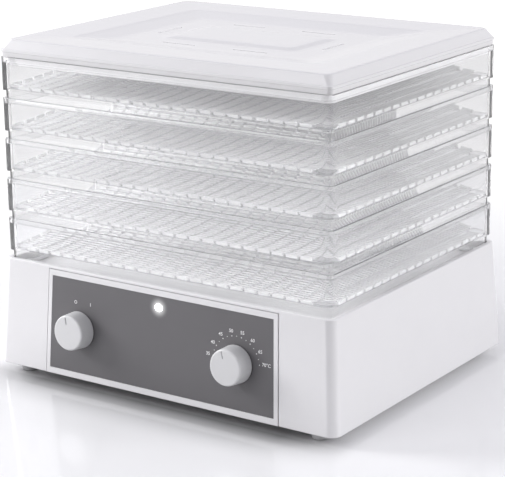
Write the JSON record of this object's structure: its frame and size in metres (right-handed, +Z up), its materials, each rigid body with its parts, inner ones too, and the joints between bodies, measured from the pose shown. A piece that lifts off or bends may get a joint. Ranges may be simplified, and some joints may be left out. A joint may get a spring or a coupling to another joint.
{
  "type": "food dehydrator",
  "caption": "Rectangular electric food dehydrator with stacked clear trays on a white fan base with a grey control panel, and a vented lid.",
  "frame": {"origin": "middle of the footprint, on the surface the feet stand on", "axes": "+Z up; +X to the right seen from the front; the control panel faces -Y"},
  "size_m": [0.3478, 0.3062, 0.2915],
  "materials": {
    "white_plastic": "smooth glossy moulding",
    "fascia_grey": "fine satin panel",
    "knob_grey": "satin",
    "clear_plastic": null,
    "foot_rubber": "matt",
    "lamp_lens": "lit lamp",
    "control_body": "dark phenolic moulding",
    "steel": "plain sheet and bar",
    "core_steel": "stacked motor steel",
    "motor_winding": null,
    "bearing_bronze": "sintered bronze",
    "mica_sheet": "mica board",
    "heating_wire": "oxidised heating wire",
    "fan_plastic": "dark moulding"
  },
  "bodies": {
    "base": {"base_housing": "white_plastic", "base_deck": "white_plastic", "bottom_cover": "white_plastic", "cover_screw_front_left": "steel", "cover_screw_front_right": "steel", "cover_screw_rear_left": "steel", "cover_screw_rear_right": "steel", "foot_front_left": "foot_rubber", "foot_front_right": "foot_rubber", "foot_rear_left": "foot_rubber", "foot_rear_right": "foot_rubber", "cord_inlet": "foot_rubber", "control_bezel": "white_plastic", "control_fascia": "fascia_grey", "indicator_lens": "lamp_lens", "indicator_led": "lamp_lens", "power_switch": "control_body", "thermostat": "control_body", "air_grille": "white_plastic", "heat_shield": "steel", "heater_frame": "mica_sheet", "heating_element": "heating_wire", "thermal_fuse": "steel", "motor_mount": "steel", "mount_screw_left": "steel", "mount_screw_right": "steel", "motor_stator": "core_steel", "motor_coil": "motor_winding", "motor_bracket_upper": "steel", "motor_bracket_lower": "steel", "bearing_upper": "bearing_bronze", "bearing_lower": "bearing_bronze", "terminal_block": "white_plastic"},
    "fan": {"motor_shaft": "steel", "motor_rotor": "core_steel", "fan_impeller": "fan_plastic", "fan_nut": "steel"},
    "power_knob": {"power_knob": "knob_grey", "switch_spindle": "steel"},
    "thermostat_knob": {"thermostat_knob": "knob_grey", "thermostat_spindle": "steel"},
    "tray_1": {"tray_1_frame": "clear_plastic", "tray_1_floor": "clear_plastic"},
    "tray_2": {"tray_2_frame": "clear_plastic", "tray_2_floor": "clear_plastic"},
    "tray_3": {"tray_3_frame": "clear_plastic", "tray_3_floor": "clear_plastic"},
    "tray_4": {"tray_4_frame": "clear_plastic", "tray_4_floor": "clear_plastic"},
    "tray_5": {"tray_5_frame": "clear_plastic", "tray_5_floor": "clear_plastic"},
    "lid": {"lid": "white_plastic"}
  },
  "joints": [
    {"name": "fan_spin", "type": "hinge", "parent": "base", "child": "fan", "pos_m": [0, 0.0013, 0.034], "axis": [0, 0, 1], "continuous": true},
    {"name": "power_turn", "type": "hinge", "parent": "base", "child": "power_knob", "pos_m": [-0.0835, -0.13663, 0.0512], "axis": [0, 0.9977, -0.0677], "range_deg": [0, 40]},
    {"name": "thermostat_turn", "type": "hinge", "parent": "base", "child": "thermostat_knob", "pos_m": [0.0783, -0.13663, 0.0512], "axis": [0, 0.9977, -0.0677], "range_deg": [-65, 99]},
    {"name": "tray_1_lift", "type": "slide", "parent": "base", "child": "tray_1", "axis": [0, 0, 1], "range_m": [0, 0.06]},
    {"name": "tray_2_lift", "type": "slide", "parent": "tray_1", "child": "tray_2", "axis": [0, 0, 1], "range_m": [0, 0.06]},
    {"name": "tray_3_lift", "type": "slide", "parent": "tray_2", "child": "tray_3", "axis": [0, 0, 1], "range_m": [0, 0.06]},
    {"name": "tray_4_lift", "type": "slide", "parent": "tray_3", "child": "tray_4", "axis": [0, 0, 1], "range_m": [0, 0.06]},
    {"name": "tray_5_lift", "type": "slide", "parent": "tray_4", "child": "tray_5", "axis": [0, 0, 1], "range_m": [0, 0.06]},
    {"name": "lid_lift", "type": "slide", "parent": "tray_5", "child": "lid", "axis": [0, 0, 1], "range_m": [0, 0.06]}
  ]
}
